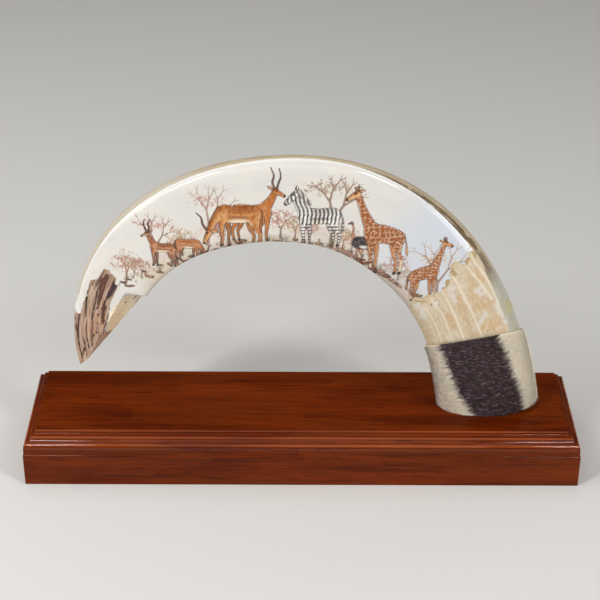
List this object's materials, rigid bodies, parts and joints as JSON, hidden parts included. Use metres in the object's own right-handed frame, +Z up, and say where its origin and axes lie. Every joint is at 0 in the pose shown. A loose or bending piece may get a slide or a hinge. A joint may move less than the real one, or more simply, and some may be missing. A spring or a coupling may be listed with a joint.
{
  "type": "scrimshaw hippo tusk on stand",
  "caption": "Curved hippo tusk with an engraved, coloured savanna picture, its root in a zebra hide band on a moulded wooden base.",
  "frame": {"origin": "middle of the underside of the wooden base", "axes": "+X along the base towards the root of the tusk, +Y away from the picture side, +Z up"},
  "size_m": [0.406, 0.0948, 0.2461],
  "materials": {
    "lacquered_wood": "clear gloss lacquer over reddish-brown striped hardwood",
    "tusk_ivory": null,
    "zebra_hide": "short-haired striped hide, cream and brown-black"
  },
  "bodies": {
    "root": {"wooden_base": "lacquered_wood", "tusk": "tusk_ivory", "zebra_hide_cuff": "zebra_hide"}
  },
  "joints": []
}
